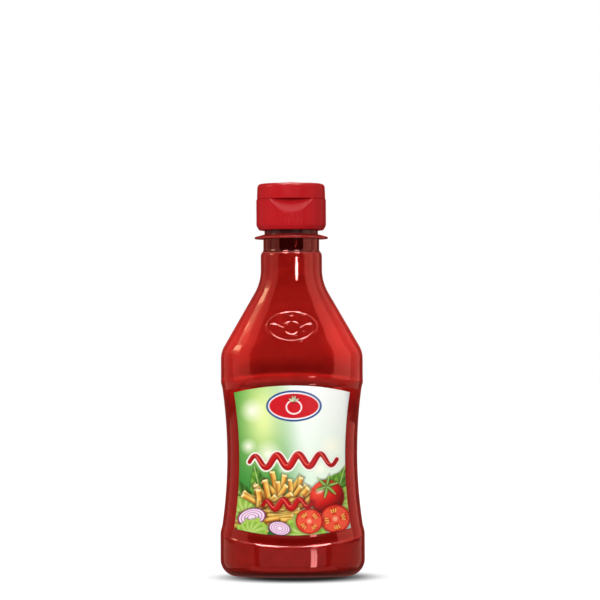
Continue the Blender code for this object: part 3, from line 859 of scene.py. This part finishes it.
def back_print(x, y):
    art = Print(-x, y)
    painted_field(art)
    painted_badge(art, 0.0, 85.5, 10.0, 6.0)
    art.y = art.y - PRINT_FOOT
    past_x, past_y = (np.maximum(part, 0) for part in (abs(art.x) - 18.5, abs(art.y - 36) - 13.5))
    box = np.hypot(past_x, past_y) - 3
    art.shape(box, (36, 116, 52), 0.5)
    art.shape(box + 0.6, (250, 252, 246), 0.5)
    for place in (-11, 0, 11):
        painted_cut_tomato(art, place, 41.5, 4.0, 12 * place)
        painted_onion(art, place, 30.0, 4.2, 14)
    painted_ketchup_line(art, -18.0, 11.5, 36.0, 5.0, 4, 2.8)
    painted_leaf(art, -24, 3, 14, 6, 20)
    painted_tomato(art, 20.0, 8.5, 6.5, 10)
    return art.colour


# Materials
def add(tree, kind, inputs=None, **settings):
    """A node with its settings, and its inputs as values or as sockets to link."""
    node = tree.nodes.new(kind)
    for name, value in settings.items():
        setattr(node, name, value)
    for name, value in (inputs or {}).items():
        if isinstance(value, bpy.types.NodeSocket):
            tree.links.new(value, node.inputs[name])
        else:
            node.inputs[name].default_value = value
    return node


def new_material(name):
    looks = bpy.data.materials.new(name)
    looks.use_nodes = True
    looks.node_tree.nodes.clear()
    return looks, looks.node_tree


def noise(tree, scale, detail=2.0):
    place = add(tree, "ShaderNodeTexCoord").outputs["Object"]
    inputs = {"Vector": place, "Scale": scale, "Detail": detail}
    return add(tree, "ShaderNodeTexNoise", inputs).outputs["Fac"]


def ramp(tree, factor, *stops):
    """A colour ramp. A stop is a position and a colour."""
    node = add(tree, "ShaderNodeValToRGB", {"Fac": factor})
    elements = node.color_ramp.elements
    while len(elements) < len(stops):
        elements.new(0.5)
    for element, (position, colour) in zip(elements, stops):
        element.position = position
        element.color = (*colour, 1)
    return node.outputs["Color"]


def span(tree, factor, low, high):
    """A factor from 0 to 1 as a number from low to high."""
    inputs = {"Value": factor, "To Min": low, "To Max": high}
    return add(tree, "ShaderNodeMapRange", inputs).outputs["Result"]


def bump(tree, height, strength, distance):
    inputs = {"Height": height, "Strength": strength, "Distance": distance}
    return add(tree, "ShaderNodeBump", inputs).outputs["Normal"]


def show(tree, shader):
    add(tree, "ShaderNodeOutputMaterial", {"Surface": shader})


def plastic_bottle_with_painted_light():
    """Red-tinted PET: clear, glossy, slightly wavy. Lamps shine through it onto the sauce.

    Its tint follows the 'wall' attribute, which carries painted shade and painted light.
    """
    looks, tree = new_material("red PET")
    waves = bump(tree, noise(tree, 55.0), 0.2, 0.4 * MM)
    # The 'wall' attribute: painted shade at its dark end, painted light at its pale end, own tint
    # at WALL_TINT
    depth = add(tree, "ShaderNodeVertexColor", layer_name="wall").outputs["Color"]
    glass = add(tree, "ShaderNodeBsdfPrincipled", {
        "Base Color": ramp(
            tree,
            depth,
            (0, (0.74, 0.085, 0.08)),
            (WALL_TINT, (0.36, 0.05, 0.045)),
            (0.7, (0.14, 0.012, 0.012)),
            (1, (0.02, 0.006, 0.006)),
        ),
        "Roughness": span(tree, noise(tree, 400.0), 0.03, 0.05),
        "IOR": 1.5,
        "Specular IOR Level": 1.0,
        "Specular Tint": (1.0, 0.06, 0.04, 1),
        "Transmission Weight": 1.0,
        "Coat Weight": 0.4,
        "Coat Roughness": 0.02,
        "Normal": waves,
        "Coat Normal": waves,
    })
    clear = add(tree, "ShaderNodeBsdfTransparent", {"Color": (0.8, 0.35, 0.3, 1)})
    lamp = add(tree, "ShaderNodeLightPath").outputs["Is Shadow Ray"]
    both = add(tree, "ShaderNodeMixShader", {"Fac": lamp, 1: glass.outputs[0], 2: clear.outputs[0]})
    show(tree, both.outputs[0])
    return looks


def ring_plastic_with_painted_shade():
    """The same plastic in the neck's ring, deep red and solid, and in its collar, painted
    near-black as painted shade under the cap.
    """
    looks, tree = new_material("red PET ring with painted collar shade")
    place = add(tree, "ShaderNodeTexCoord").outputs["Object"]
    height = add(tree, "ShaderNodeSeparateXYZ", {"Vector": place}).outputs["Z"]
    climb = add(tree, "ShaderNodeMapRange", {
        "Value": height, "From Min": RING_TOP - 0.2 * MM, "From Max": RING_TOP + 0.3 * MM,
    }).outputs["Result"]
    # Painted shade: near-black over the ring's top, where the collar sits under the cap
    colour = ramp(tree, climb, (0, (0.28, 0.012, 0.010)), (1, (0.022, 0.006, 0.006)))
    shader = add(tree, "ShaderNodeBsdfPrincipled", {
        "Base Color": colour,
        "Roughness": 0.2,
        "Specular IOR Level": 0.2,
        "Coat Weight": 0.1,
        "Coat Roughness": 0.03,
    })
    show(tree, shader.outputs[0])
    return looks


def sauce():
    """Ketchup seen through the wall: deep red, wet, faintly mottled."""
    looks, tree = new_material("ketchup")
    mottle = noise(tree, 160.0, 4.0)
    colour = ramp(tree, mottle, (0.3, (0.33, 0.045, 0.036)), (0.7, (0.38, 0.058, 0.047)))
    shader = add(tree, "ShaderNodeBsdfPrincipled", {
        "Base Color": colour,
        "Roughness": span(tree, noise(tree, 90.0), 0.35, 0.45),
        "Specular IOR Level": 0.08,
        "Normal": bump(tree, noise(tree, 70.0), 0.2, 0.4 * MM),
    })
    show(tree, shader.outputs[0])
    return looks


def cap_plastic():
    """Moulded red polypropylene with a fine satin grain."""
    looks, tree = new_material("red cap plastic")
    mottle = noise(tree, 45.0, 3.0)
    colour = ramp(tree, mottle, (0.35, (0.44, 0.009, 0.013)), (0.65, (0.48, 0.011, 0.016)))
    shader = add(tree, "ShaderNodeBsdfPrincipled", {
        "Base Color": colour,
        "Roughness": span(tree, noise(tree, 300.0, 3.0), 0.22, 0.28),
        "Specular IOR Level": 0.07,
        "Normal": bump(tree, noise(tree, 2500.0, 2.0), 0.1, 0.05 * MM),
    })
    show(tree, shader.outputs[0])
    return looks


def label_film(name):
    """Printed film with a satin varnish. The print itself is painted on the mesh."""
    looks, tree = new_material(name)
    colour = add(tree, "ShaderNodeVertexColor", layer_name="print").outputs["Color"]
    shader = add(tree, "ShaderNodeBsdfPrincipled", {
        "Base Color": colour,
        "Roughness": span(tree, noise(tree, 500.0, 2.0), 0.3, 0.4),
        "Specular IOR Level": 0.12,
        "Normal": bump(tree, noise(tree, 120.0, 2.0), 0.1, 0.1 * MM),
    })
    show(tree, shader.outputs[0])
    return looks


# Stage
def make_floor():
    """A plain, pale floor with a contact shadow painted dark under the bottle and whitening away
    from it; the gloss doesn't mirror it.
    """
    mesh = bpy.data.meshes.new("floor")
    corners = [
        (x * FLOOR_HALF_WIDTH, y * FLOOR_HALF_WIDTH, 0)
        for x, y in ((-1, -1), (1, -1), (1, 1), (-1, 1))
    ]
    mesh.from_pydata(corners, [], [(0, 1, 2, 3)])
    floor = bpy.data.objects.new("floor", mesh)
    bpy.context.scene.collection.objects.link(floor)
    looks, tree = new_material("floor with painted shadow")
    place = add(tree, "ShaderNodeTexCoord").outputs["Object"]
    oval = {"Vector": place, "Location": PAINTED_SHADOW_SHIFT, "Scale": PAINTED_SHADOW_SCALE}
    shifted = add(tree, "ShaderNodeMapping", oval).outputs["Vector"]
    reach = add(tree, "ShaderNodeVectorMath", {0: shifted}, operation="LENGTH").outputs["Value"]
    # Painted contact shadow: dark near the bottle, white further out
    painted_shadow = ramp(tree, reach, *PAINTED_CONTACT_SHADOW)
    glow = add(tree, "ShaderNodeEmission", {"Color": painted_shadow, "Strength": 1.1})
    matte = add(tree, "ShaderNodeBsdfDiffuse", {"Color": (0.4, 0.4, 0.4, 1)})
    seen = add(tree, "ShaderNodeLightPath").outputs["Is Camera Ray"]
    both = add(tree, "ShaderNodeMixShader", {"Fac": seen, 1: matte.outputs[0], 2: glow.outputs[0]})
    show(tree, both.outputs[0])
    mesh.materials.append(looks)
    floor.visible_glossy = False


def make_world():
    """White to the camera, an even light on matte surfaces, and a sky that gloss mirrors."""
    world = bpy.data.worlds.new("studio")
    world.use_nodes = True
    tree = world.node_tree
    tree.nodes.clear()
    white = add(tree, "ShaderNodeBackground", {"Color": (1, 1, 1, 1), "Strength": 1.0})
    direction = add(tree, "ShaderNodeTexCoord").outputs["Generated"]
    height = add(tree, "ShaderNodeSeparateXYZ", {"Vector": direction}).outputs["Z"]
    share = add(tree, "ShaderNodeMapRange", {"Value": height, "From Min": -1}).outputs["Result"]
    even, sky = (
        add(tree, "ShaderNodeBackground", {"Color": ramp(tree, share, *stops)})
        for stops in (EVEN, SKY)
    )
    path = add(tree, "ShaderNodeLightPath")
    rays = {0: path.outputs["Is Glossy Ray"], 1: path.outputs["Is Transmission Ray"]}
    mirrored = add(tree, "ShaderNodeMath", rays, operation="GREATER_THAN")
    unseen = add(tree, "ShaderNodeMixShader", {
        "Fac": mirrored.outputs[0], 1: even.outputs[0], 2: sky.outputs[0],
    })
    both = add(tree, "ShaderNodeMixShader", {
        "Fac": path.outputs["Is Camera Ray"], 1: unseen.outputs[0], 2: white.outputs[0],
    })
    add(tree, "ShaderNodeOutputWorld", {"Surface": both.outputs[0]})
    world.cycles.sampling_method = "NONE"
    bpy.context.scene.world = world


def panel(name, centre, width, height, radiance, colour=(1, 1, 1), target=None):
    """A soft light with a sharp edge in reflections, hidden from the camera.

    It points at its target, or straight across the bottle's width where it has none.
    """
    light = bpy.data.lights.new(name, "AREA")
    light.shape = "RECTANGLE"
    light.size, light.size_y = width, height
    light.energy = radiance * math.pi * width * height
    light.color = colour
    lamp = bpy.data.objects.new(name, light)
    bpy.context.scene.collection.objects.link(lamp)
    lamp.location = centre
    aim = Vector(target or (0, *centre[1:])) - Vector(centre)
    lamp.rotation_euler = aim.to_track_quat("-Z", "Y").to_euler()
    lamp.visible_camera = False
    return lamp


def make_lights():
    """Panels and an overhead on each side, strips at the left and by the lens, and two keys.

    Only the keys light what is matte, and only the others show in the gloss.
    """
    side = 0.7
    lamps = []
    for name, across, more in (("left", -side, 0.68), ("right", side, 1.25)):
        over = (across * 0.3, -0.36, 0.98)
        lamps += [
            panel(name + " front panel", (across, -0.3, 0.515), 0.58, 0.97, 2.0 * more, ROSY),
            panel(name + " upper panel", (across, -0.3, 0.64), 0.58, 0.72, 1.3 * more, ROSY),
            panel(name + " back panel", (across, 0.3, 0.515), 0.58, 0.97, 1.2 * more, RED),
            panel(name + " overhead", over, 0.26, 0.6, 25.0, target=(0, 0, 0.15)),
            panel(name + " wide low panel", (across, -0.1, -0.2), 1.4, 0.38, 0.8, ROSY),
            panel(name + " low panel", (across, 0.1, -0.2), 0.9, 0.38, 4.2 * more, RED),
        ]
    for width, height, middle, radiance in (
        (0.22, 0.16, 0.5, 7.0),
        (0.26, 0.24, 0.49, 1.8),
        (0.34, 0.42, 0.5, 0.8),
    ):
        place = (width / 8 - side, -0.05, middle)
        lamps.append(panel("left strip", place, width, height, radiance, WARM))
    lamps += [
        panel("rear lamp", (0, 0.42, 0.98), 0.34, 0.5, 22.0, target=(0, 0, 0.19)),
        panel("low front panel", (0, -1.8, -0.3), 2.4, 0.5, 0.6, target=(0, 0, -0.3)),
        panel("foot panel", (0, -0.8, -0.8), 2.4, 1.0, 1.4, FOOT_RED, target=(0, 0, 0)),
        panel("upper lens strip", (0.34, -0.95, 0.178), 0.15, 0.036, 70.0, target=(0, 0, 0.178)),
        panel("lower lens strip", (0.33, -0.95, -0.165), 0.12, 0.27, 11.0, target=(0, 0, -0.165)),
    ]
    for lamp in lamps:
        lamp.visible_diffuse = False
    for name, across, along, radiance in (("key", -0.35, -1.5, 9.0), ("rear key", 0.35, 1.5, 6.0)):
        key = panel(name, (across, along, 0.65), 0.8, 0.8, radiance, target=(0, 0, 0.12))
        key.visible_glossy = False


def make_camera():
    camera = bpy.data.cameras.new("camera")
    camera.sensor_width = 36.0
    camera.lens = camera.sensor_width * CAMERA_DISTANCE / VIEW_WIDTH
    holder = bpy.data.objects.new("camera", camera)
    bpy.context.scene.collection.objects.link(holder)
    holder.location = (AIM.x, -CAMERA_DISTANCE, EYE_HEIGHT)
    aim = (AIM - holder.location).to_track_quat("-Z", "Y").to_matrix()
    holder.rotation_euler = (aim @ Matrix.Rotation(-CAMERA_ROLL, 3, "Z")).to_euler()
    bpy.context.scene.camera = holder


def dress(piece, looks, body, node=None):
    """Gives a piece its material and the body it rides on, and hides the imported node it stands
    for, if any.
    """
    piece.data.materials.append(looks)
    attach(piece, body)
    if node:
        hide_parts(node)


def main():
    make_world()
    make_camera()
    make_lights()
    make_floor()
    bpy.context.scene.view_settings.view_transform = "Standard"
    cap = cap_plastic()
    dress(make_bottle(), plastic_bottle_with_painted_light(), "bottle", "bottle")
    dress(make_ring(), ring_plastic_with_painted_shade(), "bottle")
    dress(make_ketchup(), sauce(), "bottle", "ketchup")
    dress(make_cap_base(), cap, "bottle", "cap_base")
    dress(make_cap_lid(), cap, "lid", "cap_lid")
    front = make_label("label_front_film", 0.0, front_print)
    dress(front, label_film("front label film"), "bottle", "label_front")
    back = make_label("label_back_film", math.pi, back_print)
    dress(back, label_film("back label film"), "bottle", "label_back")
    hinge = make_hinge()
    hinge.data.materials.append(cap)
    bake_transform(hinge)


main()
